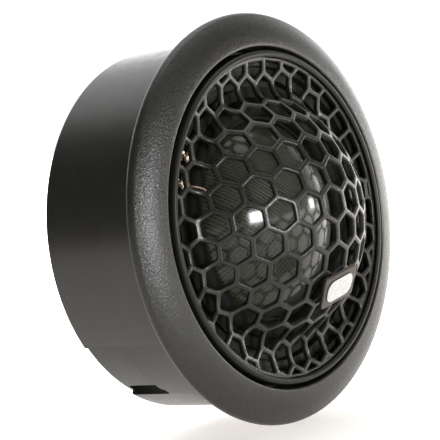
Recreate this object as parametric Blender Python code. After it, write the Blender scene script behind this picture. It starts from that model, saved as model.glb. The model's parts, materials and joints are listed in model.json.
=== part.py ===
"""Car tweeter: a soft-dome driver behind a domed honeycomb grille, twist-locked into a round mounting cup.

The speaker's axis is the Y axis and its front faces -Y.  The origin is on that axis, in the plane of
the flange's back, which rests on the panel.  Lengths below are millimetres.  A "front" value is a
distance in front of that plane, so it is -Y, and angles run from +X towards +Z.
"""
import math

import bmesh
import bpy
from mathutils import Matrix, Vector

MM = 0.001
SEGMENTS = 48
FULL_TURN = 360.0
OFF_LINE = 4.0                # start angle that keeps a hole's corners off the seams around it
GAP = 0.3                     # clearance between pieces that touch
SHARP_ANGLE = math.radians(35)

# Mounting cup
FLANGE_R = 27.0
FLANGE_RIM = 0.9              # front value of the flange's widest line
NOSE_R = 0.9                  # rounding of the flange's outer edge
FLANGE_CREST = 3.23           # front value of the flange's inner edge
CUP_R = 24.2
CUP_BORE = 22.57
LIP = (22.3, 1.9)             # flange's inner lip: its radius, and the front value it starts from
CUP_REAR = -16.23
WEB = (-15.2, -13.8)          # rear floor of the cup, back and front faces
WEB_HOLE_R = 12.0
LEDGE_R = 20.4
LEDGE = (-6.9, -3.4)          # bayonet ledge, back and front faces
SLOT_ROOF = -5.0              # the lugs travel below this face of the ledge
RECESS_ANGLE = 223.7          # shallow relief in the rear of the cup wall
RECESS_HALF_ANGLE = 12.9
RECESS_FRONT = -9.73
RECESS_DEPTH = 0.6
SLIT_ANGLE = 234.8            # narrow lead-out slit at the relief's lower end
SLIT_WIDTH = 1.6
SLIT = (-15.75, -9.33)        # the slit's rear and front ends

# Bayonet
LUG_ANGLES = (90.0, 210.0, 330.0)
LUG_HALF_ANGLE = 7.0
LUG_R = 21.6
LUG = (-6.6, -5.3)
TWIST = 20.0                  # travel from locked to free

# Faceplate, bezel and grille
INSERT_R = 21.75
NECK_R = 20.1
MOTOR_BORE = 16.5
RIM_R = 21.05                 # grille rim and the land below it
BEZEL_LIP_R = 20.88
BEZEL_CROWN = (21.3, 3.15)    # centre of the bezel's rounded crown: r and front
BEZEL_CROWN_R = 0.45
GRILLE_APEX = 12.19
GRILLE_SPHERE_R = 18.48
GRILLE_FOOT_ANGLE = 57.5
GRILLE_VALLEY = (17.6, 2.5)
GRILLE_RIM = (20.6, 3.0)
GRILLE_THICKNESS = 0.9
CELL_PITCH = 4.304            # across flats, measured along the curved sheet
CELL_BAR = 0.6
LEAST_CELL_AREA = 4.5         # a cell cut smaller than this by the rim stays closed
CELL_OFFSET = (-0.49, 1.08)   # one cell's centre beside the apex
BADGE_SIZE = (6.4, 4.6)
BADGE_THICKNESS = 0.5
INLAY_SIZE = (5.0, 3.2)
INLAY_THICKNESS = 0.2
BADGE_TILT = 30.5             # degrees from the apex, straight down
BADGE_ROLL = 11.0

# Moving assembly
DOME_SPHERE_R = 16.0
DOME_CENTRE = -9.1
DOME_R = 13.0
DOME_THICKNESS = 0.25
FORMER = (12.5, 12.65)        # coil former, inner and outer radius
WINDING = (12.75, 13.1)
ROLL_CENTRE_R = 14.7          # surround's half roll
ROLL_R = 1.1
SURROUND_R = (13.3, 17.4)
SURROUND_LEVEL = 0.35
SURROUND_THICKNESS = 0.3

# Motor and rear chamber
YOKE_R = 16.2
GAP_BORE = 13.5
YOKE = (-9.2, -1.2)
YOKE_FLOOR = -7.4
MAGNET_R = 11.6
POLE_R = 11.9
VENT_R = 2.0
CHAMBER = (17.2, 17.9)        # rear chamber's wall, inner and outer radius
CHAMBER_FLANGE = (-8.4, -7.2)
CHAMBER_FLOOR = (-13.5, -12.5)
SCREW_CIRCLE_R = 19.1
TERMINAL_ANGLES = {"positive": 145.0, "negative": 157.0}
GROMMET_RADIUS = 8.5          # distance of the lead's grommet from the axis


def point(radius, angle, front):
    """A place given by its distance from the axis, its angle and its front value."""
    turn = math.radians(angle)
    return Vector((radius * math.cos(turn), -front, radius * math.sin(turn))) * MM


def arc(centre, radius, start, end, steps):
    """Points (r, front) along an arc, both ends included; angles in degrees from the +r direction."""
    turns = [math.radians(start + (end - start) * i / steps) for i in range(steps + 1)]
    return [(centre[0] + radius * math.cos(t), centre[1] + radius * math.sin(t)) for t in turns]


def bowed(start, end, bulge, steps):
    """Points from start to end on a shallow arc that stands proud of the straight line by bulge."""
    (r0, f0), (r1, f1) = start, end
    chord = math.hypot(r1 - r0, f1 - f0)
    normal = ((f0 - f1) / chord, (r1 - r0) / chord)
    points = []
    for i in range(steps + 1):
        t = i / steps
        rise = 4 * bulge * t * (1 - t)
        points.append((r0 + (r1 - r0) * t + normal[0] * rise, f0 + (f1 - f0) * t + normal[1] * rise))
    return points


def material(name, colour, roughness, metallic=0.0):
    made = bpy.data.materials.new(name)
    made.use_nodes = True
    shader = made.node_tree.nodes["Principled BSDF"]
    shader.inputs["Base Color"].default_value = (*colour, 1.0)
    shader.inputs["Roughness"].default_value = roughness
    shader.inputs["Metallic"].default_value = metallic
    return made


def make_materials():
    return {
        "satin_plastic": material("satin_plastic", (0.028, 0.028, 0.03), 0.42),
        "gloss_plastic": material("gloss_plastic", (0.015, 0.015, 0.016), 0.15),
        "black_paint": material("black_paint", (0.03, 0.03, 0.032), 0.35),
        "badge_metal": material("badge_metal", (0.16, 0.15, 0.14), 0.35, 1.0),
        "badge_white": material("badge_white", (0.85, 0.85, 0.85), 0.3),
        "silk": material("silk", (0.06, 0.065, 0.05), 0.6),
        "phenolic": material("phenolic", (0.25, 0.12, 0.05), 0.5),
        "copper": material("copper", (0.72, 0.35, 0.2), 0.3, 1.0),
        "brass": material("brass", (0.75, 0.55, 0.25), 0.3, 1.0),
        "steel": material("steel", (0.45, 0.45, 0.46), 0.35, 1.0),
        "nickel": material("nickel", (0.7, 0.68, 0.64), 0.2, 1.0),
        "felt": material("felt", (0.1, 0.1, 0.1), 0.95),
        "rubber": material("rubber", (0.02, 0.02, 0.02), 0.7),
        "board_green": material("board_green", (0.03, 0.18, 0.08), 0.45),
    }


def add_mesh(name, shape, finish, smooth=True):
    """Turn a bmesh into an object; its faces are made to point out."""
    bmesh.ops.recalc_face_normals(shape, faces=shape.faces)
    mesh = bpy.data.meshes.new(name)
    shape.to_mesh(mesh)
    shape.free()
    if smooth:
        mesh.shade_smooth()
        mesh.set_sharp_from_angle(angle=SHARP_ANGLE)
    made = bpy.data.objects.new(name, mesh)
    bpy.context.collection.objects.link(made)
    if finish:
        mesh.materials.append(finish)
    return made


def turned(name, profile, finish, start=0.0, end=FULL_TURN, segments=SEGMENTS):
    """Revolve a closed outline of (r, front) points about the Y axis, all round or over a sector."""
    shape = bmesh.new()
    whole = abs(end - start) >= FULL_TURN
    on_axis = {i: shape.verts.new(point(0, 0, f)) for i, (r, f) in enumerate(profile) if r == 0}
    rings = []
    for i in range(segments if whole else segments + 1):
        angle = start + (end - start) * i / segments
        rings.append([on_axis.get(j) or shape.verts.new(point(r, angle, f)) for j, (r, f) in enumerate(profile)])
    count = len(profile)
    pairs = list(zip(rings, rings[1:] + rings[:1])) if whole else list(zip(rings, rings[1:]))
    for here, there in pairs:
        for j in range(count):
            k = (j + 1) % count
            corners = list(dict.fromkeys((here[j], here[k], there[k], there[j])))
            if len(corners) > 2:
                shape.faces.new(corners)
    if not whole:
        shape.faces.new(rings[0])
        shape.faces.new(rings[-1])
    return add_mesh(name, shape, finish)


def polar_block(name, radii, width, fronts, angle, finish=None):
    """A block between two radii, width across, between two front values, at an angle about the axis."""
    size = Vector((radii[1] - radii[0], fronts[1] - fronts[0], width)) * MM
    centre = point((radii[0] + radii[1]) / 2, 0, (fronts[0] + fronts[1]) / 2)
    shape = bmesh.new()
    bmesh.ops.create_cube(shape, size=1.0)
    bmesh.ops.scale(shape, vec=size, verts=shape.verts)
    bmesh.ops.translate(shape, vec=centre, verts=shape.verts)
    bmesh.ops.rotate(shape, matrix=Matrix.Rotation(math.radians(-angle), 3, "Y"), verts=shape.verts)
    return add_mesh(name, shape, finish)


def combine(target, tool, operation="DIFFERENCE"):
    """Cut a tool from an object, or join it on; the tool stays as a hidden wire."""
    tool.hide_render = True
    tool.display_type = "WIRE"
    change = target.modifiers.new(tool.name, "BOOLEAN")
    change.object = tool
    change.operation = operation
    change.solver = "EXACT"


def drill(target, name, radius, fronts, distance, angle, sides=12):
    """Bore a round hole along Y, distance from the axis; its corners are turned off the target's own lines."""
    outline = [(0, fronts[0]), (radius, fronts[0]), (radius, fronts[1]), (0, fronts[1])]
    bit = turned(name, outline, None, OFF_LINE, OFF_LINE + FULL_TURN, sides)
    bit.location = point(distance, angle, 0)
    combine(target, bit)


def wire(name, points, radius, finish):
    """A round wire through points (r, angle, front)."""
    curve = bpy.data.curves.new(name, "CURVE")
    curve.dimensions = "3D"
    curve.bevel_depth = radius * MM
    curve.bevel_resolution = 2
    curve.use_fill_caps = True
    spline = curve.splines.new("POLY")
    spline.points.add(len(points) - 1)
    for knot, place in zip(spline.points, points):
        knot.co = (*point(*place), 1.0)
    curve.materials.append(finish)
    made = bpy.data.objects.new(name, curve)
    bpy.context.collection.objects.link(made)
    return made


def smooth_route(knots, steps):
    """Catmull-Rom points through (r, angle, front) knots."""
    padded = [knots[0]] + list(knots) + [knots[-1]]
    route = []
    for a, b, c, d in zip(padded, padded[1:], padded[2:], padded[3:]):
        for i in range(steps):
            t = i / steps
            route.append(tuple(
                0.5 * (2 * q + (r - p) * t + (2 * p - 5 * q + 4 * r - s) * t * t + (3 * q - p - 3 * r + s) * t ** 3)
                for p, q, r, s in zip(a, b, c, d)))
    return route + [knots[-1]]


# ---------------------------------------------------------------- mounting cup

def mounting_cup(finish):
    face_end = arc((FLANGE_R - NOSE_R, FLANGE_RIM), NOSE_R, 60, -90, 5)
    profile = [(CUP_BORE, LIP[1] - 0.3), (LIP[0], LIP[1]), (LIP[0], FLANGE_CREST - 0.28),
               (LIP[0] + 0.08, FLANGE_CREST - 0.08)]
    profile += bowed((LIP[0] + 0.28, FLANGE_CREST), face_end[0], 0.3, 4)[:-1]
    profile += face_end
    profile += [(CUP_R, 0)]
    profile += arc((CUP_R - 0.4, CUP_REAR + 0.4), 0.4, 0, -90, 2)
    profile += [(CUP_BORE, CUP_REAR), (CUP_BORE, WEB[0]), (WEB_HOLE_R, WEB[0]), (WEB_HOLE_R, WEB[1])]
    profile += [(CUP_BORE, WEB[1]), (CUP_BORE, LEDGE[0]), (LEDGE_R, LEDGE[0]), (LEDGE_R, LEDGE[1])]
    profile += [(CUP_BORE, LEDGE[1])]
    cup = turned("mounting_cup", profile, finish)

    clear = LUG_HALF_ANGLE + 2.5
    slots = {"channel": (-clear, TWIST + clear, (LEDGE[0] - GAP, SLOT_ROOF)),
             "entry": (TWIST - clear + 1.0, TWIST + clear - 1.0, (SLOT_ROOF - 1.0, LEDGE[1] + GAP))}
    for kind, (low, high, (back, front)) in slots.items():
        outline = [(LEDGE_R - 1, back), (LEDGE_R - 1, front), (LUG_R + 0.4, front), (LUG_R + 0.4, back)]
        for i, angle in enumerate(LUG_ANGLES):
            combine(cup, turned(f"cutter_{kind}_{i}", outline, None, angle + low, angle + high, 8))

    floor = CUP_R - RECESS_DEPTH
    outline = [(floor, CUP_REAR - 2), (floor, RECESS_FRONT), (CUP_R + 2, RECESS_FRONT), (CUP_R + 2, CUP_REAR - 2)]
    combine(cup, turned("cutter_relief", outline, None, RECESS_ANGLE - RECESS_HALF_ANGLE,
                        RECESS_ANGLE + RECESS_HALF_ANGLE, 6))
    combine(cup, polar_block("cutter_slit", (CUP_BORE - 0.8, CUP_R + 2), SLIT_WIDTH, SLIT, SLIT_ANGLE))
    combine(cup, polar_block("cutter_web_channel", (WEB_HOLE_R - 1, CUP_BORE - 0.3), 4.4,
                             (WEB[0] - 0.5, WEB[1] + 0.5), SLIT_ANGLE))
    for i, angle in enumerate((3.0, 183.0)):
        drill(cup, f"cutter_screw_hole_{i}", 1.6, (WEB[0] - 0.5, WEB[1] + 0.5), 17.0, angle, 16)
    return cup


# ---------------------------------------------------------------- faceplate, bezel, grille, badge

def faceplate(finish):
    land = GRILLE_RIM[1] - GRILLE_THICKNESS - GAP
    profile = [(18.7, 0.6), (19.9, 0.6), (19.9, land), (RIM_R, land), (RIM_R, -0.3), (INSERT_R, -0.3),
               (INSERT_R, -2.1), (NECK_R, -2.1), (NECK_R, -6.9), (MOTOR_BORE, -6.9), (MOTOR_BORE, -1.2),
               (18.7, -1.2)]
    plate = turned("faceplate", profile, finish)
    outline = [(NECK_R - 0.4, LUG[0]), (NECK_R - 0.4, LUG[1]), (LUG_R, LUG[1]), (LUG_R, LUG[0])]
    for i, angle in enumerate(LUG_ANGLES):
        lug = turned(f"joined_lug_{i}", outline, None, angle - LUG_HALF_ANGLE, angle + LUG_HALF_ANGLE, 4)
        combine(plate, lug, "UNION")
    for name, angle in TERMINAL_ANGLES.items():
        combine(plate, polar_block(f"cutter_channel_{name}", (MOTOR_BORE - 1, 18.45), 1.9, (-7.5, -0.5), angle))
    for i, angle in enumerate(LUG_ANGLES):
        drill(plate, f"cutter_thread_{i}", 0.75, (-7.5, -3.6), SCREW_CIRCLE_R, angle)
    return plate


def bezel_ring(finish):
    under = GRILLE_RIM[1] + GAP
    profile = [(BEZEL_LIP_R, under)] + arc(BEZEL_CROWN, BEZEL_CROWN_R, 150, 10, 5)
    profile += [(INSERT_R, 2.6), (INSERT_R, 0.0), (RIM_R + GAP, 0.0), (RIM_R + GAP, under)]
    return turned("bezel_ring", profile, finish)


def grille_profile():
    """(distance along the sheet, r, front) from the apex to the rim: a cap, a valley, a flat rim."""
    foot = math.radians(GRILLE_FOOT_ANGLE)
    centre = GRILLE_APEX - GRILLE_SPHERE_R
    line = []
    for i in range(31):
        t = foot * i / 30
        line.append((GRILLE_SPHERE_R * math.sin(t), centre + GRILLE_SPHERE_R * math.cos(t)))
    bends = [(line[-1], (math.cos(foot), -math.sin(foot))), (GRILLE_VALLEY, (1.0, 0.0)), (GRILLE_RIM, (1.0, 0.0))]
    for (p, dp), (q, dq) in zip(bends, bends[1:]):
        reach = math.dist(p, q)
        for i in range(1, 9):
            t = i / 8
            weights = (2 * t ** 3 - 3 * t * t + 1, (t ** 3 - 2 * t * t + t) * reach,
                       3 * t * t - 2 * t ** 3, (t ** 3 - t * t) * reach)
            line.append(tuple(weights[0] * p[k] + weights[1] * dp[k] + weights[2] * q[k] + weights[3] * dq[k]
                              for k in range(2)))
    line.append((RIM_R, GRILLE_RIM[1]))
    walked = [(0.0, *line[0])]
    for p, q in zip(line, line[1:]):
        walked.append((walked[-1][0] + math.dist(p, q), *q))
    return walked


def on_profile(profile, distance):
    """The (r, front) at a distance along the sheet."""
    for (d0, r0, f0), (d1, r1, f1) in zip(profile, profile[1:]):
        if distance <= d1:
            t = (distance - d0) / (d1 - d0)
            return r0 + (r1 - r0) * t, f0 + (f1 - f0) * t
    return profile[-1][1:]


def hexagon_sheet(limit):
    """A flat sheet of hexagon faces in millimetres, trimmed to a round of radius limit."""
    shape = bmesh.new()
    side = CELL_PITCH / math.sqrt(3)
    reach = int(limit / CELL_PITCH) + 2
    for i in range(-reach, reach + 1):
        for j in range(-reach, reach + 1):
            x = CELL_OFFSET[0] + CELL_PITCH * (i + 0.5 * j)
            z = CELL_OFFSET[1] + CELL_PITCH * j * math.sqrt(0.75)
            if math.hypot(x, z) < limit + side:
                turns = [math.radians(30 + 60 * k) for k in range(6)]
                shape.faces.new([shape.verts.new((x + side * math.cos(t), 0, z + side * math.sin(t))) for t in turns])
    bmesh.ops.remove_doubles(shape, verts=shape.verts, dist=0.01)
    for i in range(48):
        turn = math.radians(7.5 * i)
        outward = Vector((math.cos(turn), 0, math.sin(turn)))
        bmesh.ops.bisect_plane(shape, geom=shape.verts[:] + shape.edges[:] + shape.faces[:], dist=0.001,
                               plane_co=outward * limit, plane_no=outward, clear_outer=True)
    bmesh.ops.remove_doubles(shape, verts=shape.verts, dist=0.12)
    return shape


def roomy(face):
    """Whether a cell is large enough to be open once its bars are drawn inside its outline."""
    centre = face.calc_center_median()
    nearest = min((centre - (e.verts[0].co + e.verts[1].co) / 2).length for e in face.edges)
    return face.calc_area() > LEAST_CELL_AREA and nearest > 1.5 * CELL_BAR


def hex_grille(finish):
    profile = grille_profile()
    rim_start = next(d for d, r, _ in profile if r >= GRILLE_RIM[0] - 1e-6)
    outer = profile[-1][0]
    shape = hexagon_sheet(rim_start)
    open_cells = [f for f in shape.faces if roomy(f)]
    bmesh.ops.inset_individual(shape, faces=open_cells, thickness=CELL_BAR / 2, use_even_offset=True)
    bmesh.ops.delete(shape, geom=open_cells, context="FACES")
    border = [e for e in shape.edges if e.is_boundary and
              min(v.co.length for v in e.verts) > rim_start - 0.15 and
              not any(v.co.length < rim_start * math.cos(math.radians(3.75)) - 0.02 for v in e.verts)]
    grown = bmesh.ops.extrude_edge_only(shape, edges=border)["geom"]
    for vert in (g for g in grown if isinstance(g, bmesh.types.BMVert)):
        vert.co *= outer / rim_start
    for vert in shape.verts:
        angle = math.degrees(math.atan2(vert.co.z, vert.co.x))
        r, front = on_profile(profile, vert.co.length)
        vert.co = point(r, angle, front)
    bmesh.ops.recalc_face_normals(shape, faces=shape.faces)
    mesh = bpy.data.meshes.new("hex_grille")
    shape.to_mesh(mesh)
    shape.free()
    mesh.materials.append(finish)
    made = bpy.data.objects.new("hex_grille", mesh)
    bpy.context.collection.objects.link(made)
    front_sign = sum(p.normal.y * p.area for p in mesh.polygons)
    shell = made.modifiers.new("thickness", "SOLIDIFY")
    shell.thickness = GRILLE_THICKNESS * MM
    shell.offset = -1.0 if front_sign < 0 else 1.0
    return made


def badge(name, size, thickness, lift, finish, rounding):
    """A small rounded plate standing tangent to the grille's cap, lift above it."""
    shape = bmesh.new()
    bmesh.ops.create_cube(shape, size=1.0)
    bmesh.ops.scale(shape, vec=Vector((size[0], thickness, size[1])) * MM, verts=shape.verts)
    uprights = [e for e in shape.edges if abs(e.verts[0].co.y - e.verts[1].co.y) > thickness * MM / 2]
    bmesh.ops.bevel(shape, geom=uprights, offset=rounding * MM, segments=4, affect="EDGES", profile=0.5)
    made = add_mesh(name, shape, finish)
    tilt = math.radians(BADGE_TILT)
    centre = GRILLE_APEX - GRILLE_SPHERE_R
    reach = GRILLE_SPHERE_R + lift + thickness / 2
    made.location = point(reach * math.sin(tilt), -90, centre + reach * math.cos(tilt))
    made.rotation_euler = (Matrix.Rotation(tilt, 3, "X") @
                           Matrix.Rotation(-math.radians(BADGE_ROLL), 3, "Y")).to_euler()
    return made


# ---------------------------------------------------------------- diaphragm and voice coil

def dome_diaphragm(finish):
    def cap(radius, edge):
        top = math.asin(edge / radius)
        return [(radius * math.sin(top * i / 6), DOME_CENTRE + radius * math.cos(top * i / 6)) for i in range(7)]
    inner = cap(DOME_SPHERE_R - DOME_THICKNESS, DOME_R - 0.1)
    return turned("dome_diaphragm", cap(DOME_SPHERE_R, DOME_R) + inner[::-1], finish, segments=36)


def surround(finish):
    half = SURROUND_THICKNESS / 2
    centre = (ROLL_CENTRE_R, SURROUND_LEVEL)
    outer = arc(centre, ROLL_R + half, 170, 10, 4)
    inner = arc(centre, ROLL_R - half, 10, 170, 4)
    profile = [(SURROUND_R[0], SURROUND_LEVEL - half), (SURROUND_R[0], SURROUND_LEVEL + half)] + outer
    profile += [(SURROUND_R[1], SURROUND_LEVEL + half), (SURROUND_R[1], SURROUND_LEVEL - half)]
    profile += [(inner[0][0], SURROUND_LEVEL - half)] + inner[1:-1] + [(inner[-1][0], SURROUND_LEVEL - half)]
    return turned("surround", profile, finish, segments=36)


def diaphragm_ring(finish):
    ring = turned("diaphragm_ring", [(15.9, -0.9), (15.9, -0.1), (18.4, -0.1), (18.4, -0.9)], finish)
    for name, angle in TERMINAL_ANGLES.items():
        combine(ring, polar_block(f"cutter_notch_{name}", (17.4, 19.5), 1.9, (-1.5, 0.5), angle))
    return ring


def tube(name, radii, fronts, finish, segments=36):
    return turned(name, [(radii[0], fronts[0]), (radii[0], fronts[1]), (radii[1], fronts[1]), (radii[1], fronts[0])],
                  finish, segments=segments)


def lead_wire(name, angle, finish):
    """Flexible lead from the dome's edge over the surround to its terminal."""
    clear = ROLL_R + SURROUND_THICKNESS / 2 + 0.25
    over = [(r, angle, f) for r, f in arc((ROLL_CENTRE_R, SURROUND_LEVEL), clear, 165, 20, 8)]
    return wire(name, over + [(16.6, angle, 0.75), (17.9, angle, 0.72)], 0.11, finish)


def terminal(name, angle, finish):
    """Bent brass strip: a pad in front of the ring and a blade down through its notch."""
    radii = (17.6, 18.35)
    pad = polar_block(name, radii, 1.3, (0.15, 0.45), angle, finish)
    blade = polar_block(f"joined_blade_{name}", (17.75, 18.15), 0.9, (-3.0, 0.3), angle)
    combine(pad, blade, "UNION")
    return pad


# ---------------------------------------------------------------- motor

def yoke_cup(finish):
    profile = [(GAP_BORE, YOKE[1]), (YOKE_R - 0.3, YOKE[1]), (YOKE_R, YOKE[1] - 0.3), (YOKE_R, YOKE[0] + 0.4),
               (YOKE_R - 0.4, YOKE[0]), (VENT_R, YOKE[0]), (VENT_R, YOKE_FLOOR), (GAP_BORE, YOKE_FLOOR)]
    return turned("yoke_cup", profile, finish, segments=36)


def shorting_cap(finish):
    profile = [(VENT_R, -1.1), (12.2, -1.1), (12.2, -3.4), (12.0, -3.4), (12.0, -1.3), (VENT_R, -1.3)]
    return turned("shorting_cap", profile, finish, segments=36)


# ---------------------------------------------------------------- rear chamber

def rear_chamber(finish):
    inner, outer = CHAMBER
    back, front = CHAMBER_FLOOR
    profile = [(inner, CHAMBER_FLANGE[1]), (NECK_R, CHAMBER_FLANGE[1]), (NECK_R, CHAMBER_FLANGE[0]),
               (outer, CHAMBER_FLANGE[0])]
    profile += arc((outer - 0.5, back + 0.5), 0.5, 0, -90, 3)
    profile += [(0, back), (0, front), (inner, front)]
    can = turned("rear_chamber", profile, finish, segments=36)
    for i, angle in enumerate(LUG_ANGLES):
        drill(can, f"cutter_clearance_{i}", 0.75, (-9.0, -6.5), SCREW_CIRCLE_R, angle)
    drill(can, "cutter_lead_hole", 2.3, (back - 1, front + 1), GROMMET_RADIUS, SLIT_ANGLE, 16)
    return can


def lead_grommet(finish):
    """Rubber bush, open for the lead, with a groove that grips the chamber's floor."""
    back, front = CHAMBER_FLOOR
    profile = [(1.3, back - 0.9), (2.6, back - 0.9), (3.0, back - 0.6), (3.0, back - 0.3), (2.0, back - 0.3),
               (2.0, front + 0.3), (2.8, front + 0.3), (2.8, front + 0.8), (1.3, front + 0.8)]
    made = turned("lead_grommet", profile, finish, segments=16)
    made.location = point(GROMMET_RADIUS, SLIT_ANGLE, 0)
    return made


def assembly_screw(name, angle, finish):
    """Pan-head screw from the chamber's flange into the faceplate, with a hexagon socket in its head."""
    head = CHAMBER_FLANGE[0] - GAP
    profile = [(0, -4.2), (0.3, -4.3), (0.55, -4.6), (0.55, head), (0.9, head), (0.95, head - 0.35),
               (0.7, head - 0.7), (0.4, head - 0.7), (0.4, head - 0.35), (0, head - 0.35)]
    made = turned(name, profile, finish, segments=12)
    made.location = point(SCREW_CIRCLE_R, angle, 0)
    return made


def box(name, centre, size, finish):
    """A block whose centre is (x, front, z) and whose size is (x, depth, z)."""
    shape = bmesh.new()
    bmesh.ops.create_cube(shape, size=1.0)
    bmesh.ops.scale(shape, vec=Vector(size) * MM, verts=shape.verts)
    made = add_mesh(name, shape, finish)
    made.location = Vector((centre[0], -centre[1], centre[2])) * MM
    return made


TAB_PLACES = {"positive": (-6.3, 11.2), "negative": (-6.3, 7.8)}


def inner_wire(name, finish):
    """Insulated wire from the board's tab, up the side of the yoke, to the terminal's blade."""
    angle = TERMINAL_ANGLES[name]
    x, z = TAB_PLACES[name]
    start = (math.hypot(x - 1.5, z), math.degrees(math.atan2(z, x - 1.5)), -11.75)
    knots = [start, (start[0] + 3, (start[1] + angle) / 2 + 4, -11.5), (16.2, angle, -10.6), (16.7, angle, -9.0),
             (16.7, angle, -7.2), (17.2, angle, -5.6), (17.9, angle, -4.3), (17.95, angle, -3.2)]
    return wire(f"inner_wire_{name}", smooth_route(knots, 3), 0.3, finish)


def main():
    for existing in list(bpy.data.objects):
        bpy.data.objects.remove(existing, do_unlink=True)
    finish = make_materials()

    mounting_cup(finish["satin_plastic"])
    tube("seal_ring", (20.7, 22.2), (-3.1, -2.4), finish["rubber"], segments=SEGMENTS)

    faceplate(finish["satin_plastic"])
    bezel_ring(finish["gloss_plastic"])
    hex_grille(finish["black_paint"])
    badge("badge_plate", BADGE_SIZE, BADGE_THICKNESS, GAP, finish["badge_metal"], 0.5)
    badge("badge_inlay", INLAY_SIZE, INLAY_THICKNESS, 2 * GAP + BADGE_THICKNESS - INLAY_THICKNESS,
          finish["badge_white"], 1.2)

    dome_diaphragm(finish["silk"])
    tube("coil_former", FORMER, (-3.6, -0.05), finish["phenolic"])
    tube("coil_winding", WINDING, (-3.3, -1.7), finish["copper"])
    surround(finish["silk"])
    diaphragm_ring(finish["satin_plastic"])

    yoke_cup(finish["steel"])
    tube("neodymium_magnet", (VENT_R, MAGNET_R), (-7.1, -3.9), finish["nickel"])
    tube("pole_plate", (VENT_R, POLE_R), (-3.6, -1.6), finish["steel"])
    shorting_cap(finish["copper"])
    tube("damping_felt", (VENT_R + 0.5, 8.5), (-0.8, 0.9), finish["felt"])

    rear_chamber(finish["satin_plastic"])
    lead_grommet(finish["rubber"])
    tube("chamber_wadding", (1.5, 5.0), (-12.2, -9.6), finish["felt"], segments=24)
    box("terminal_board", (0, -10.8, 9.5), (16, 0.8, 7), finish["board_green"])
    for i, angle in enumerate(LUG_ANGLES):
        assembly_screw(f"assembly_screw_{i + 1}", angle, finish["steel"])
    for name, angle in TERMINAL_ANGLES.items():
        lead_wire(f"lead_wire_{name}", angle, finish["copper"])
        terminal(f"terminal_{name}", angle, finish["brass"])
        x, z = TAB_PLACES[name]
        box(f"solder_tab_{name}", (x, -11.65, z), (2.4, 0.3, 1.6), finish["brass"])
        inner_wire(name, finish["rubber"])


main()
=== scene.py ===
import json
import math

import bmesh
import bpy
from mathutils import Matrix, Quaternion, Vector, noise


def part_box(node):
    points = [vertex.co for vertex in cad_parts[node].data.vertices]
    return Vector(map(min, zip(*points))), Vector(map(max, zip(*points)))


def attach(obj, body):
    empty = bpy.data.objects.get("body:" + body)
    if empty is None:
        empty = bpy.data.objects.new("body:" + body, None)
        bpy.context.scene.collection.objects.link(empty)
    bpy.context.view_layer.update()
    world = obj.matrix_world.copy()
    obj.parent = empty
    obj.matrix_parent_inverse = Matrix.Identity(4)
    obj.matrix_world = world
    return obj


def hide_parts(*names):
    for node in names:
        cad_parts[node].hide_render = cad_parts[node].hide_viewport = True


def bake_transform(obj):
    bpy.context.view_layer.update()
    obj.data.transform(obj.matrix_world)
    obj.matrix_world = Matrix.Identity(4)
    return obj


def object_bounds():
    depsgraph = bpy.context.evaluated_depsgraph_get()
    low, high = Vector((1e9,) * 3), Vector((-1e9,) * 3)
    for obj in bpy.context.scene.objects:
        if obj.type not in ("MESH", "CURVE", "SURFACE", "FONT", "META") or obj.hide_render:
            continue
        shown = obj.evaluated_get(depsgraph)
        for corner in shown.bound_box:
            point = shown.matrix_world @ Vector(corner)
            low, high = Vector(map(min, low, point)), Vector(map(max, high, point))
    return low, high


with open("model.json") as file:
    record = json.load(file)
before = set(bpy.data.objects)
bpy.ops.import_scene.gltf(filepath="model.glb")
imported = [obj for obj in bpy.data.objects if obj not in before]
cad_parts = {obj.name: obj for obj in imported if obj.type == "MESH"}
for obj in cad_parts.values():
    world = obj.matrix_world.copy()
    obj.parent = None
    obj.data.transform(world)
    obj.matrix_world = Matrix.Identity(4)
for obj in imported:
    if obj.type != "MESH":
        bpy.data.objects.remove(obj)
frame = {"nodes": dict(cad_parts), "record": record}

CAD_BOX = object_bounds()
MM = 0.001
FULL_TURN = 360.0
FINE = 240                    # segments round a large turned piece
GAP = 0.3                     # clearance between pieces that touch
SHARP_ANGLE = math.radians(32)


# ---------------------------------------------------------------- sizes; a few are read from the imported model

def radius_of(node):
    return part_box(node)[1].x / MM


def front_of(node):
    return -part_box(node)[0].y / MM


def back_of(node):
    return -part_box(node)[1].y / MM


FLANGE_R = radius_of("mounting_cup")
FLANGE_RIM = 0.9              # front value of the flange's widest line
NOSE_R = 0.9                  # rounding of the flange's outer edge
FLANGE_CREST = 3.23           # front value of the flange's inner edge
CUP_R = 24.2
CUP_BORE = 22.57
LIP = (22.3, 1.9)             # flange's inner lip: its radius, and the front value it starts from
LIP_EASE = 0.28               # rounding of the lip's front edge
CUP_REAR = back_of("mounting_cup")
WEB = (-15.2, -13.8)          # rear floor of the cup, back and front faces
WEB_HOLE_R = 12.0
LEDGE_R = 20.4
LEDGE = (-6.9, -3.4)          # bayonet ledge, back and front faces
SLOT_ROOF = -5.0              # the lugs travel below this face of the ledge
RECESS_ANGLE = 223.7          # shallow relief in the rear of the cup wall
RECESS_HALF_ANGLE = 12.9
RECESS_FRONT = -9.73
RECESS_DEPTH = 0.6
SLIT_ANGLE = 234.8            # narrow lead-out slit at the relief's lower end
SLIT_WIDTH = 1.6
SLIT = (-15.75, -9.33)        # the slit's rear and front ends

LUG_ANGLES = (90.0, 210.0, 330.0)
LUG_HALF_ANGLE = 7.0
LUG_R = 21.6
LUG = (-6.6, -5.3)
TWIST = 20.0                  # travel from locked to free

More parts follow.
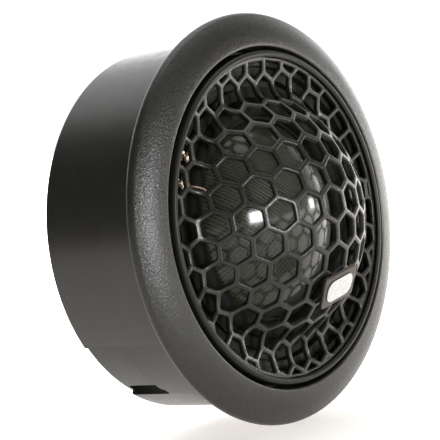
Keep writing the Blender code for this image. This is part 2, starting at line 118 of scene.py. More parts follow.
INSERT_R = radius_of("bezel_ring")
BEZEL_LIP_R = 20.88
BEZEL_CROWN = (21.3, 3.15)    # centre of the bezel's rounded crown: r and front
BEZEL_CROWN_R = 0.45
NECK_R = 20.1
MOTOR_BORE = 16.5
RIM_R = radius_of("hex_grille")
RIM_LAND = 1.8                # front value of the faceplate's land under the grille's rim
GRILLE_APEX = front_of("hex_grille")
GRILLE_SPHERE_R = 18.48
GRILLE_FOOT_ANGLE = 57.5
GRILLE_VALLEY = (17.6, 2.5)
GRILLE_RIM = (20.6, 3.0)
GRILLE_THICKNESS = 0.7
CELL_PITCH = 4.304            # across flats, measured along the curved sheet
CELL_BAR = 0.72
CELL_OFFSET = (-0.49, 1.08)   # one cell's centre beside the apex
BADGE_SIZE = (6.4, 4.6)
BADGE_THICKNESS = 0.5
INLAY_SIZE = (5.0, 3.2)
INLAY_THICKNESS = 0.16
BADGE_TILT = 30.5             # degrees from the apex, straight down
BADGE_ROLL = 11.0

DOME_SPHERE_R = 16.0
DOME_CENTRE = -9.1
DOME_R = 13.0
DOME_THICKNESS = 0.25
ROLL_CENTRE_R = 14.7          # surround's half roll
ROLL_R = 1.1
SURROUND_R = (13.05, 17.4)
SURROUND_LEVEL = 0.35
SURROUND_THICKNESS = 0.3

CHAMBER = (17.2, 17.9)        # rear chamber's wall, inner and outer radius
CHAMBER_FLANGE = (-8.4, -7.2)
CHAMBER_FLOOR = (-13.5, -12.5)
SCREW_CIRCLE_R = 19.1
TERMINAL_ANGLES = {"positive": 145.0, "negative": 157.0}
GROMMET_RADIUS = 8.5          # distance of the lead's grommet from the axis


# ---------------------------------------------------------------- mesh helpers

def point(radius, angle, front):
    """A place given by its distance from the axis, its angle and its front value."""
    turn = math.radians(angle)
    return Vector((radius * math.cos(turn), -front, radius * math.sin(turn))) * MM


def heading(angle):
    """A flat unit vector at an angle in radians."""
    return Vector((math.cos(angle), math.sin(angle)))


def arc(centre, radius, start, end, steps):
    """Points (r, front) along an arc, both ends included; angles in degrees from the +r direction."""
    turns = [math.radians(start + (end - start) * i / steps) for i in range(steps + 1)]
    return [(centre[0] + radius * math.cos(t), centre[1] + radius * math.sin(t)) for t in turns]


def bowed(start, end, bulge, steps):
    """Points from start to end on a shallow arc that stands proud of the straight line by bulge."""
    (r0, f0), (r1, f1) = start, end
    chord = math.hypot(r1 - r0, f1 - f0)
    normal = ((f0 - f1) / chord, (r1 - r0) / chord)
    points = []
    for i in range(steps + 1):
        t = i / steps
        rise = 4 * bulge * t * (1 - t)
        points.append((r0 + (r1 - r0) * t + normal[0] * rise, f0 + (f1 - f0) * t + normal[1] * rise))
    return points


def rounded(outline, radius, steps=3):
    """A closed outline whose sharp corners are eased; corners on the axis stay as they are."""
    eased = []
    for i, here in enumerate(outline):
        corner = Vector(here)
        before = Vector(outline[i - 1]) - corner
        after = Vector(outline[(i + 1) % len(outline)]) - corner
        turn = math.pi - before.angle(after)
        if turn < math.radians(20) or here[0] == 0:
            eased.append(here)
            continue
        reach = min(radius * math.tan(turn / 2), 0.45 * before.length, 0.45 * after.length)
        start, end = corner + before.normalized() * reach, corner + after.normalized() * reach
        for k in range(steps + 1):
            t = k / steps
            eased.append(tuple((1 - t) ** 2 * start + 2 * t * (1 - t) * corner + t * t * end))
    return eased


def mesh_object(name, shape, finish, sharp=SHARP_ANGLE):
    """Turn a bmesh into a smooth-shaded object with sharp edges kept; its faces are made to point out."""
    bmesh.ops.recalc_face_normals(shape, faces=shape.faces)
    mesh = bpy.data.meshes.new(name)
    shape.to_mesh(mesh)
    shape.free()
    mesh.shade_smooth()
    mesh.set_sharp_from_angle(angle=sharp)
    made = bpy.data.objects.new(name, mesh)
    bpy.context.collection.objects.link(made)
    if finish:
        mesh.materials.append(finish)
    return made


def turned(name, profile, finish, segments=FINE, start=0.0, end=FULL_TURN):
    """Revolve a closed outline of (r, front) points about the Y axis, all round or over a sector."""
    shape = bmesh.new()
    whole = abs(end - start) >= FULL_TURN
    on_axis = {i: shape.verts.new(point(0, 0, f)) for i, (r, f) in enumerate(profile) if r == 0}
    rings = []
    for i in range(segments if whole else segments + 1):
        angle = start + (end - start) * i / segments
        rings.append([on_axis.get(j) or shape.verts.new(point(r, angle, f))
                      for j, (r, f) in enumerate(profile)])
    pairs = list(zip(rings, rings[1:] + rings[:1])) if whole else list(zip(rings, rings[1:]))
    for here, there in pairs:
        for j in range(len(profile)):
            k = (j + 1) % len(profile)
            corners = list(dict.fromkeys((here[j], here[k], there[k], there[j])))
            if len(corners) > 2:
                shape.faces.new(corners)
    if not whole:
        shape.faces.new(rings[0])
        shape.faces.new(rings[-1])
    return mesh_object(name, shape, finish)


def polar_block(name, radii, width, fronts, angle, finish=None, bevel=0.0):
    """A block between two radii, width across, between two front values, at an angle about the axis."""
    size = Vector((radii[1] - radii[0], fronts[1] - fronts[0], width)) * MM
    shape = bmesh.new()
    bmesh.ops.create_cube(shape, size=1.0)
    bmesh.ops.scale(shape, vec=size, verts=shape.verts)
    if bevel:
        bmesh.ops.bevel(shape, geom=shape.edges[:], offset=bevel * MM, segments=3,
                        affect="EDGES", profile=0.5)
    bmesh.ops.translate(shape, vec=point(sum(radii) / 2, 0, sum(fronts) / 2), verts=shape.verts)
    bmesh.ops.rotate(shape, matrix=Matrix.Rotation(math.radians(-angle), 3, "Y"), verts=shape.verts)
    return mesh_object(name, shape, finish)


def combine(target, tools, operation="DIFFERENCE"):
    """Cut tools from an object, or join them on, and throw the tools away."""
    for tool in tools:
        change = target.modifiers.new(tool.name, "BOOLEAN")
        change.object = tool
        change.operation = operation
        change.solver = "EXACT"
    bpy.context.view_layer.update()
    seen = target.evaluated_get(bpy.context.evaluated_depsgraph_get())
    mesh = bpy.data.meshes.new_from_object(seen)
    target.modifiers.clear()
    target.data = mesh
    mesh.shade_smooth()
    mesh.set_sharp_from_angle(angle=SHARP_ANGLE)
    for tool in tools:
        bpy.data.objects.remove(tool, do_unlink=True)


def drill(name, radius, fronts, distance, angle, sides=48):
    """A round cutter along Y, distance from the axis."""
    outline = [(0, fronts[0]), (radius, fronts[0]), (radius, fronts[1]), (0, fronts[1])]
    bit = turned(name, outline, None, sides)
    bit.location = point(distance, angle, 0)
    return bit


def shifted(piece, offset):
    """Move a piece's own mesh, so that the object stays at the origin."""
    piece.data.transform(Matrix.Translation(offset))
    return piece


def tube(name, points, radius, finish, sides=10):
    """A round tube with closed ends along points in metres."""
    shape = bmesh.new()
    rings = []
    side = None
    for i, place in enumerate(points):
        ahead = points[min(i + 1, len(points) - 1)] - points[max(i - 1, 0)]
        ahead.normalize()
        side = ahead.orthogonal() if side is None else side - ahead * side.dot(ahead)
        side.normalize()
        up = ahead.cross(side)
        ring = []
        for k in range(sides):
            turn = 2 * math.pi * k / sides
            ring.append(shape.verts.new(place + (side * math.cos(turn) + up * math.sin(turn)) * radius * MM))
        rings.append(ring)
    for here, there in zip(rings, rings[1:]):
        for k in range(sides):
            n = (k + 1) % sides
            shape.faces.new((here[k], here[n], there[n], there[k]))
    shape.faces.new(rings[0])
    shape.faces.new(rings[-1])
    return mesh_object(name, shape, finish)


def place(piece, body, slot, *nodes):
    """Say what a finished piece rides on and hide the CAD nodes it stands for; slot, its finish, is not used.
    """
    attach(piece, body)
    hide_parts(*nodes)
    return piece


# ---------------------------------------------------------------- materials

WEAVE = ((math.radians(-46), 0.43), (math.radians(48), 0.55))      # each rib direction and its pitch


def shade(colour, factor):
    """A lighter or darker version of a colour."""
    return tuple(min(1.0, c * factor) for c in colour)


class Finish:
    """A node material under construction; coordinates are the piece's own, in millimetres."""

    def __init__(self, name, colour, roughness, metallic=0.0, **inputs):
        self.made = bpy.data.materials.new(name)
        self.made.use_nodes = True
        self.tree = self.made.node_tree
        self.shader = self.tree.nodes["Principled BSDF"]
        self.set(self.shader, "Base Color", (*colour, 1.0))
        self.set(self.shader, "Roughness", roughness)
        self.set(self.shader, "Metallic", metallic)
        for socket, value in inputs.items():
            self.set(self.shader, socket.replace("_", " "), value)
        coordinate = self.tree.nodes.new("ShaderNodeTexCoord")
        scale = self.tree.nodes.new("ShaderNodeMapping")
        scale.inputs["Scale"].default_value = (1 / MM,) * 3
        self.link(coordinate.outputs["Object"], scale.inputs["Vector"])
        self.millimetres = scale.outputs["Vector"]

    def set(self, node, socket, value):
        node.inputs[socket].default_value = value

    def link(self, source, target):
        self.tree.links.new(source, target)

    def noise(self, size, detail=3.0, roughness=0.5, stretch=(1, 1, 1), distortion=0.0):
        """Noise whose lumps are about size millimetres across."""
        node = self.tree.nodes.new("ShaderNodeTexNoise")
        self.set(node, "Scale", 1 / size)
        self.set(node, "Detail", detail)
        self.set(node, "Roughness", roughness)
        self.set(node, "Distortion", distortion)
        squash = self.tree.nodes.new("ShaderNodeMapping")
        squash.inputs["Scale"].default_value = stretch
        self.link(self.millimetres, squash.inputs["Vector"])
        self.link(squash.outputs["Vector"], node.inputs["Vector"])
        return node.outputs["Fac"]

    def cells(self, size):
        """Distance to the nearest of scattered points about size millimetres apart."""
        node = self.tree.nodes.new("ShaderNodeTexVoronoi")
        self.set(node, "Scale", 1 / size)
        self.link(self.millimetres, node.inputs["Vector"])
        return node.outputs["Distance"]

    def ramp(self, value, low, high, start=0.0, end=1.0):
        """Value mapped from start..end to low..high, clamped."""
        node = self.tree.nodes.new("ShaderNodeMapRange")
        self.link(value, node.inputs["Value"])
        for socket, number in zip(("From Min", "From Max", "To Min", "To Max"), (start, end, low, high)):
            self.set(node, socket, number)
        return node.outputs["Result"]

    def math(self, operation, a, b=0.0):
        node = self.tree.nodes.new("ShaderNodeMath")
        node.operation = operation
        for socket, value in zip(node.inputs, (a, b)):
            if isinstance(value, (int, float)):
                socket.default_value = value
            else:
                self.link(value, socket)
        return node.outputs["Value"]

    def times(self, a, b):
        return self.math("MULTIPLY", a, b)

    def mix(self, factor, a, b):
        """Colour a at factor 0 and colour b at factor 1; each is a colour or a socket."""
        node = self.tree.nodes.new("ShaderNodeMix")
        node.data_type = "RGBA"
        self.link(factor, node.inputs["Factor"])
        for socket, value in ((node.inputs[6], a), (node.inputs[7], b)):
            if isinstance(value, tuple):
                socket.default_value = (*value[:3], 1.0)
            else:
                self.link(value, socket)
        return node.outputs[2]

    def tint(self, factor, a, b):
        self.link(self.mix(factor, a, b), self.shader.inputs["Base Color"])

    def roughen(self, value):
        self.link(value, self.shader.inputs["Roughness"])

    def bump(self, height, distance, strength=1.0):
        """Raise the surface by up to distance millimetres where height is 1."""
        node = self.tree.nodes.new("ShaderNodeBump")
        self.set(node, "Strength", strength)
        self.set(node, "Distance", distance * MM)
        self.link(height, node.inputs["Height"])
        if self.shader.inputs["Normal"].is_linked:
            self.link(self.shader.inputs["Normal"].links[0].from_socket, node.inputs["Normal"])
        self.link(node.outputs["Normal"], self.shader.inputs["Normal"])

    def separate(self):
        node = self.tree.nodes.new("ShaderNodeSeparateXYZ")
        self.link(self.millimetres, node.inputs["Vector"])
        return node.outputs


def smooth_plastic(name, colour, roughness, dust=0.0, shine=0.5):
    """Moulded plastic: faint mottling, a fine skin texture and a few specks of dust."""
    finish = Finish(name, colour, roughness, Specular_IOR_Level=shine)
    tone = finish.mix(finish.noise(6.0, 2.0), shade(colour, 0.75), shade(colour, 1.35))
    if dust:
        speck = finish.math("LESS_THAN", finish.cells(2.6), 0.035)
        rare = finish.math("GREATER_THAN", finish.noise(9.0, 0.0), 0.58)
        finish.tint(finish.times(speck, rare), tone, (dust, dust, dust * 0.95))
    else:
        finish.link(tone, finish.shader.inputs["Base Color"])
    finish.roughen(finish.ramp(finish.noise(1.6, 3.0), roughness - 0.02, roughness + 0.03, 0.3, 0.7))
    finish.bump(finish.noise(0.14, 2.0), 0.002, 0.5)
    return finish.made


def grained_plastic(name, colour, roughness):
    """Spark-eroded grain: irregular pits 0.2 to 0.4 mm across; the raised grain is painted lighter and its
    pits darker, as painted light and shade.
    """
    finish = Finish(name, colour, roughness)
    pits = finish.noise(0.34, 2.5, 0.6)
    grains = finish.cells(0.3)
    fine = finish.noise(0.13, 2.0, 0.5)
    # Painted light and shade: the colour follows the same noise as the bump, lighter where the grain is
    # raised and darker where it is low.
    finish.tint(finish.ramp(pits, 0, 1, 0.3, 0.75), shade(colour, 0.7), shade(colour, 1.5))
    finish.roughen(finish.ramp(fine, roughness - 0.1, roughness + 0.1, 0.3, 0.7))
    finish.bump(grains, 0.02, 1.0)
    finish.bump(pits, 0.035, 1.0)
    finish.bump(fine, 0.03, 1.0)
    return finish.made


def powder_paint(name, colour, roughness):
    """Semi-gloss powder coat: soft orange peel over a fine speckle."""
    finish = Finish(name, colour, roughness, Specular_IOR_Level=0.38)
    finish.tint(finish.noise(0.7, 4.0), shade(colour, 0.7), shade(colour, 1.4))
    finish.roughen(finish.ramp(finish.noise(0.35, 3.0), roughness - 0.07, roughness + 0.1, 0.3, 0.7))
    finish.bump(finish.noise(0.45, 2.0), 0.012, 0.8)
    return finish.made


def woven_silk(name, colour, roughness):
    """Coated fabric: ribs in two directions, over and under each other, with a clear sealing coat."""
    finish = Finish(name, colour, roughness, Specular_IOR_Level=0.22, Coat_Weight=0.6, Coat_Roughness=0.12)
    axes = finish.separate()
    turns = []
    for angle, pitch in WEAVE:
        across = finish.math("ADD", finish.times(axes["X"], -math.sin(angle) / pitch),
                             finish.times(axes["Z"], math.cos(angle) / pitch))
        wander = finish.ramp(finish.noise(0.9, 2.0), -0.28, 0.28)
        turns.append(finish.math("ADD", across, wander))
    ribs = [finish.math("ABSOLUTE", finish.math("SINE", finish.times(t, math.pi))) for t in turns]
    waves = [finish.math("SINE", finish.times(finish.math("ADD", t, 0.5), math.pi)) for t in turns]
    over = finish.ramp(finish.times(waves[0], waves[1]), 0.66, 1.0, -1.0, 1.0)
    under = finish.math("SUBTRACT", 1.5, over)
    # Painted light: the first ribs stand out more towards the top of the dome, and the second towards its
    # bottom, as the light falls on them; this leaning weights both the ribs' painted shade and their bump.
    light_leans = [finish.ramp(axes["Z"], *span, -5.0, 4.0) for span in ((0.5, 1.0), (1.0, 0.5))]
    height = finish.math("MAXIMUM", finish.times(finish.times(ribs[0], over), light_leans[0]),
                         finish.times(finish.times(ribs[1], under), light_leans[1]))
    fuzz = finish.noise(0.08, 3.0)
    raised = finish.ramp(height, 0.0, 1.0, 0.3, 0.95)
    depth = finish.times(raised, finish.ramp(fuzz, 0.6, 1.0, 0.3, 0.7))
    # Painted shade and light: the grooves between the ribs are darkened to 0.15 of the colour and the rib
    # tops lightened to 1.8 times it.
    finish.tint(depth, shade(colour, 0.15), shade(colour, 1.8))
    finish.roughen(finish.ramp(fuzz, roughness - 0.1, roughness + 0.1, 0.3, 0.7))
    finish.bump(height, 0.085, 1.0)
    finish.bump(fuzz, 0.006, 0.5)
    return finish.made


def brushed_metal(name, colour, roughness, grain=(1, 1, 12)):
    finish = Finish(name, colour, roughness, metallic=1.0)
    lines = finish.noise(0.4, 4.0, 0.6, grain)
    finish.tint(lines, shade(colour, 0.75), shade(colour, 1.15))
    finish.roughen(finish.ramp(lines, roughness - 0.08, roughness + 0.14, 0.3, 0.7))
    finish.bump(lines, 0.004, 0.6)
    return finish.made


def felt_like(name, colour):
    finish = Finish(name, colour, 0.95, Sheen_Weight=0.4, Sheen_Roughness=0.5)
    hairs = finish.noise(0.25, 5.0, 0.7, distortion=1.5)
    finish.tint(hairs, shade(colour, 0.5), shade(colour, 1.6))
    finish.bump(hairs, 0.12, 0.9)
    return finish.made


def soft_rubber(name, colour, roughness, shine=0.5):
    finish = Finish(name, colour, roughness, Specular_IOR_Level=shine)
    bloom = finish.noise(1.5, 4.0)
    finish.tint(bloom, shade(colour, 0.7), shade(colour, 1.8))
    finish.roughen(finish.ramp(bloom, roughness - 0.1, roughness + 0.1, 0.3, 0.7))
    finish.bump(finish.noise(0.1, 2.0), 0.006, 0.6)
    return finish.made


def wound_wire(name, colour):
    """Enamelled wire laid turn by turn along the axis."""
    finish = Finish(name, colour, 0.3, metallic=1.0, Coat_Weight=0.6, Coat_Roughness=0.15)
    turns = finish.math("SINE", finish.times(finish.separate()["Y"], 2 * math.pi / 0.12))
    ridges = finish.times(finish.math("ADD", turns, 1.0), 0.5)
    # Painted shade: the colour darkens to 0.45 of itself in the grooves between the turns.
    finish.tint(ridges, shade(colour, 0.45), colour)
    finish.bump(ridges, 0.03, 1.0)
    return finish.made


def circuit_board(name, colour):
    finish = Finish(name, colour, 0.35, Coat_Weight=0.3, Coat_Roughness=0.1)
    weave = finish.noise(0.5, 2.0, 0.5, (1, 1, 3))
    finish.tint(weave, shade(colour, 0.7), shade(colour, 1.4))
    finish.bump(weave, 0.01, 0.5)
    return finish.made


def glossy_inlay(name, colour):
    finish = Finish(name, colour, 0.25, Coat_Weight=0.4, Coat_Roughness=0.1)
    finish.tint(finish.noise(1.2, 3.0), shade(colour, 0.9), shade(colour, 1.05))
    finish.roughen(finish.ramp(finish.noise(0.6), 0.2, 0.34, 0.3, 0.7))
    finish.bump(finish.noise(0.5, 2.0), 0.004, 0.4)
    return finish.made


def make_materials():
    recipes = {
        "cup_plastic": (smooth_plastic, (0.0185, 0.0178, 0.0138), 0.29, 0.16),
        "cup_grain": (grained_plastic, (0.0155, 0.015, 0.0122), 0.34),
        "insert_plastic": (soft_rubber, (0.009, 0.009, 0.0075), 0.5, 0.2),
        "bezel_gloss": (smooth_plastic, (0.0125, 0.0125, 0.0098), 0.4, 0.0, 0.22),
        "grille_paint": (powder_paint, (0.016, 0.016, 0.0125), 0.3),
        "badge_metal": (brushed_metal, (0.1, 0.088, 0.078), 0.36, (12, 1, 1)),
        "badge_white": (glossy_inlay, (0.5, 0.5, 0.48)),
        "dome_silk": (woven_silk, (0.033, 0.037, 0.02), 0.45),
        "surround_rubber": (soft_rubber, (0.005, 0.005, 0.004), 0.7, 0.1),
        "former_film": (smooth_plastic, (0.25, 0.12, 0.05), 0.4),
        "copper": (wound_wire, (0.72, 0.35, 0.2)),
        "tinsel": (brushed_metal, (0.86, 0.66, 0.56), 0.3, (6, 6, 6)),
        "brass": (brushed_metal, (0.86, 0.72, 0.56), 0.3),
        "motor_steel": (brushed_metal, (0.45, 0.45, 0.46), 0.35),
        "magnet_nickel": (brushed_metal, (0.7, 0.68, 0.64), 0.2, (1, 1, 1)),
        "felt": (felt_like, (0.1, 0.1, 0.1)),
        "rubber": (soft_rubber, (0.02, 0.02, 0.02), 0.65),
        "wire_jacket": (soft_rubber, (0.022, 0.02, 0.02), 0.5),
        "board_green": (circuit_board, (0.03, 0.18, 0.08)),
    }
    return {name: make(name, *values) for name, (make, *values) in recipes.items()}


def dress_cad_nodes(finishes):
    """Give every carried-over CAD node the finish of its material slot."""
    for row in frame["record"]["subparts"]:
        node = frame["nodes"][row["node"]]
        node.data.materials.clear()
        node.data.materials.append(finishes[row["material_slot"]])


# ---------------------------------------------------------------- mounting cup

def cup_profile():
    """The cup's outline from the flange's inner edge round its rim, down the wall and back up the bore."""
    nose = arc((FLANGE_R - NOSE_R, FLANGE_RIM), NOSE_R, 60, -90, 14)
    face = [(CUP_BORE, LIP[1] - 0.3), (LIP[0], LIP[1]), (LIP[0], FLANGE_CREST - LIP_EASE)]
    face += arc((LIP[0] + LIP_EASE, FLANGE_CREST - LIP_EASE), LIP_EASE, 165, 100, 5)
    face += bowed((LIP[0] + 0.32, FLANGE_CREST), nose[0], 0.3, 14)[:-1]
    face += nose
    wall = arc((CUP_R + 0.25, -0.25), 0.25, 90, 180, 4)
    wall += arc((CUP_R - 0.4, CUP_REAR + 0.4), 0.4, 0, -90, 8)
    inside = [(CUP_BORE, CUP_REAR), (CUP_BORE, WEB[0]), (WEB_HOLE_R, WEB[0]), (WEB_HOLE_R, WEB[1]),
              (CUP_BORE, WEB[1]), (CUP_BORE, LEDGE[0]), (LEDGE_R, LEDGE[0]), (LEDGE_R, LEDGE[1]),
              (CUP_BORE, LEDGE[1])]
    return rounded(face + wall + inside, 0.15, 2)


def cup_cutters():
    clear = LUG_HALF_ANGLE + 2.5
    cutters = []
    for i, angle in enumerate(LUG_ANGLES):
        for kind, low, high, back, front in (
                ("channel", -clear, TWIST + clear, LEDGE[0] - 0.3, SLOT_ROOF),
                ("entry", TWIST - clear + 1.0, TWIST + clear - 1.0, SLOT_ROOF - 1.0, LEDGE[1] + 0.3)):
            outline = [(LEDGE_R - 1, back), (LEDGE_R - 1, front), (LUG_R + 0.4, front), (LUG_R + 0.4, back)]
            cutters.append(turned(f"cutter_{kind}_{i}", outline, None, 40, angle + low, angle + high))
    floor = CUP_R - RECESS_DEPTH
    outline = [(floor, CUP_REAR - 2), (floor, RECESS_FRONT), (CUP_R + 2, RECESS_FRONT),
               (CUP_R + 2, CUP_REAR - 2)]
    cutters.append(turned("cutter_relief", outline, None, 60, RECESS_ANGLE - RECESS_HALF_ANGLE,
                          RECESS_ANGLE + RECESS_HALF_ANGLE))
    cutters.append(polar_block("cutter_slit", (CUP_BORE - 0.8, CUP_R + 2), SLIT_WIDTH, SLIT, SLIT_ANGLE,
                               bevel=0.45))
    cutters.append(polar_block("cutter_web_channel", (WEB_HOLE_R - 1, CUP_BORE - 0.3), 4.4,
                               (WEB[0] - 0.5, WEB[1] + 0.5), SLIT_ANGLE))
    for i, angle in enumerate((3.0, 183.0)):
        cutters.append(drill(f"cutter_screw_hole_{i}", 1.6, (WEB[0] - 0.5, WEB[1] + 0.5), 17.0, angle))
    return cutters


def make_cup(finishes):
    cup = turned("cup_body", cup_profile(), finishes["cup_plastic"])
    combine(cup, cup_cutters())
    cup.data.materials.clear()
    cup.data.materials.append(finishes["cup_plastic"])
    cup.data.materials.append(finishes["cup_grain"])
    for face in cup.data.polygons:
        middle = face.center / MM
        face.material_index = int(-middle.y > -0.05 and math.hypot(middle.x, middle.z) > CUP_BORE + 0.05)
    return place(cup, "housing", "cup_plastic", "mounting_cup")


# ---------------------------------------------------------------- faceplate and bezel

def make_faceplate(finishes):
    outline = [(18.7, 0.6), (19.9, 0.6), (19.9, RIM_LAND), (RIM_R, RIM_LAND), (RIM_R, -0.3), (INSERT_R, -0.3),
               (INSERT_R, -2.1), (NECK_R, -2.1), (NECK_R, -6.9), (MOTOR_BORE, -6.9), (MOTOR_BORE, -1.2),
               (18.7, -1.2)]
    plate = turned("faceplate_body", rounded(outline, 0.12), finishes["insert_plastic"])
    lug = [(NECK_R - 0.4, LUG[0]), (NECK_R - 0.4, LUG[1]), (LUG_R, LUG[1]), (LUG_R, LUG[0])]
    lugs = [turned(f"joined_lug_{i}", rounded(lug, 0.15), None, 16, angle - LUG_HALF_ANGLE,
                   angle + LUG_HALF_ANGLE) for i, angle in enumerate(LUG_ANGLES)]
    combine(plate, lugs, "UNION")
    cutters = [polar_block(f"cutter_channel_{name}", (MOTOR_BORE - 1, 18.45), 1.9, (-7.5, -0.5), angle)
               for name, angle in TERMINAL_ANGLES.items()]
    cutters += [drill(f"cutter_thread_{i}", 0.75, (-7.5, -3.6), SCREW_CIRCLE_R, angle, 24)
                for i, angle in enumerate(LUG_ANGLES)]
    combine(plate, cutters)
    return place(plate, "driver_insert", "insert_plastic", "faceplate")


def make_bezel(finishes):
    under = GRILLE_RIM[1] + GAP
    outline = [(BEZEL_LIP_R, under)] + arc(BEZEL_CROWN, BEZEL_CROWN_R, 150, 10, 20)
    outline += [(INSERT_R, 2.6), (INSERT_R, 0.0), (RIM_R + GAP, 0.0), (RIM_R + GAP, under)]
    bezel = turned("bezel_trim", rounded(outline, 0.06, 2), finishes["bezel_gloss"])
    return place(bezel, "driver_insert", "bezel_gloss", "bezel_ring")


# ---------------------------------------------------------------- honeycomb grille

SIDE_FRACTIONS = (0.0, 0.035, 0.08, 0.14, 0.24, 0.5, 0.76, 0.86, 0.92, 0.965)
BAR_EASE = ((0.45, 0.0), (0.7, 0.04), (0.9, 0.2), (1.0, 0.42))      # across the half bar, down the edge
BAR_EASE_DEPTH = 0.2
CORNER_SHARPNESS = 11.0       # per millimetre; higher is a tighter corner in a cell
LEAST_ROOM = 0.42             # a cut cell stays closed if its middle is nearer than this to its sides
CELLS_END_R = 20.9            # the cells run out under the bezel's lip


def hermite(p, slope_p, q, slope_q, t):
    reach = math.dist(p, q)
    weights = (2 * t ** 3 - 3 * t * t + 1, (t ** 3 - 2 * t * t + t) * reach,
               3 * t * t - 2 * t ** 3, (t ** 3 - t * t) * reach)
    return tuple(weights[0] * p[k] + weights[1] * slope_p[k] + weights[2] * q[k] + weights[3] * slope_q[k]
                 for k in range(2))


def sheet_profile():
    """(distance along the sheet, r, front) from the apex to the rim: a cap, a valley, a flat rim."""
    foot = math.radians(GRILLE_FOOT_ANGLE)
    centre = GRILLE_APEX - GRILLE_SPHERE_R
    line = [(GRILLE_SPHERE_R * math.sin(foot * i / 60), centre + GRILLE_SPHERE_R * math.cos(foot * i / 60))
            for i in range(61)]
    level = (1.0, 0.0)
    for p, slope_p, q in ((line[-1], (math.cos(foot), -math.sin(foot)), GRILLE_VALLEY),
                          (GRILLE_VALLEY, level, GRILLE_RIM)):
        line += [hermite(p, slope_p, q, level, i / 20) for i in range(1, 21)]
    line += [(CELLS_END_R, GRILLE_RIM[1]), (RIM_R, GRILLE_RIM[1])]
    walked = [(0.0, *line[0])]
    for p, q in zip(line, line[1:]):
        walked.append((walked[-1][0] + math.dist(p, q), *q))
    return walked


def on_sheet(profile, distance):
    """The (r, front) at a distance along the sheet."""
    for (d0, r0, f0), (d1, r1, f1) in zip(profile, profile[1:]):
        if distance <= d1:
            t = (distance - d0) / (d1 - d0)
            return r0 + (r1 - r0) * t, f0 + (f1 - f0) * t
    return profile[-1][1:]


def sheet_point(profile, flat, depth):
    """Wrap a flat place (x, z), depth below the sheet's front, onto the curved sheet."""
    distance = flat.length
    r, f = on_sheet(profile, distance)
    r0, f0 = on_sheet(profile, max(distance - 0.3, 0.0))
    r1, f1 = on_sheet(profile, min(distance + 0.3, profile[-1][0]))
    slope = math.hypot(r1 - r0, f1 - f0)
    away = Vector((-(f1 - f0), r1 - r0)) / slope
    angle = math.degrees(math.atan2(flat.y, flat.x))
    return point(r - depth * away[0], angle, f - depth * away[1])


def clipped_cell(centre, limit):
    """Corners of a hexagonal cell, in flat millimetres, cut off by the round rim."""
    side = CELL_PITCH / math.sqrt(3)
    corners = [centre + side * heading(math.radians(30 + 60 * k)) for k in range(6)]
    if all(c.length <= limit for c in corners):
        return corners
    kept = []
    for a, b in zip(corners, corners[1:] + corners[:1]):
        if a.length <= limit:
            kept.append(a)
        run = b - a
        middle = -a.dot(run) / run.length_squared
        square = middle ** 2 - (a.length_squared - limit ** 2) / run.length_squared
        if square > 0:
            for t in (middle - math.sqrt(square), middle + math.sqrt(square)):
                if 0 < t < 1:
                    kept.append(a + run * t)
    return with_rim_points(kept, limit)


def with_rim_points(corners, limit, step=math.radians(1.5)):
    """Add points along the rim between the two corners that lie on it."""
    filled = []
    for a, b in zip(corners, corners[1:] + corners[:1]):
        filled.append(a)
        if abs(a.length - limit) < 1e-6 and abs(b.length - limit) < 1e-6:
            start, end = math.atan2(a.y, a.x), math.atan2(b.y, b.x)
            sweep = (end - start) % (2 * math.pi)
            count = max(1, round(sweep / step))
            filled += [limit * heading(start + sweep * k / count) for k in range(1, count)]
    return filled


def soft_distance(place, sides):
    """Distance from a place inside a cell to its outline, blended smoothly from side to side."""
    near = sum(math.exp(-CORNER_SHARPNESS * (place - a).dot(n)) for a, n in sides)
    return -math.log(near) / CORNER_SHARPNESS


def inward(place, middle, sides, distance):
    """The point on the way from an outline's place to the cell's middle that lies distance inside it."""
    near, far = 0.0, 1.0
    for _ in range(24):
        t = (near + far) / 2
        if soft_distance(place.lerp(middle, t), sides) < distance:
            near = t
        else:
            far = t
    return place.lerp(middle, far)


def outline_samples(corners, limit):
    samples = []
    for a, b in zip(corners, corners[1:] + corners[:1]):
        on_rim = abs(a.length - limit) < 1e-6 and abs(b.length - limit) < 1e-6
        samples += [a] if on_rim else [a.lerp(b, t) for t in SIDE_FRACTIONS]
    return samples


def cell_sides(corners):
    sides = []
    for a, b in zip(corners, corners[1:] + corners[:1]):
        run = (b - a).normalized()
        sides.append((a, Vector((-run.y, run.x))))
    return sides


def roomiest(corners, sides):
    """The place in a cell that lies furthest from its sides, found by small steps from the mean corner."""
    def room_at(place):
        return min((place - a).dot(n) for a, n in sides)

    best = sum(corners, Vector((0, 0))) / len(corners)
    step = 0.4
    while step > 0.01:
        trials = [best + step * heading(k * math.pi / 4) for k in range(8)]
        winner = max(trials, key=room_at)
        if room_at(winner) > room_at(best):
            best = winner
        else:
            step /= 2
    return best, room_at(best)


def flat_area(corners):
    return sum(a.x * b.y - b.x * a.y for a, b in zip(corners, corners[1:] + corners[:1])) / 2


def bar_section():
    """Steps (inset from the bar's middle, depth) over the bar's front, down its side and along its back."""
    front = [(0.0, 0.0)] + [(x * CELL_BAR / 2, d * BAR_EASE_DEPTH / BAR_EASE[-1][1]) for x, d in BAR_EASE]
    back = [(inset, GRILLE_THICKNESS - depth) for inset, depth in reversed(front)]
    return front + back


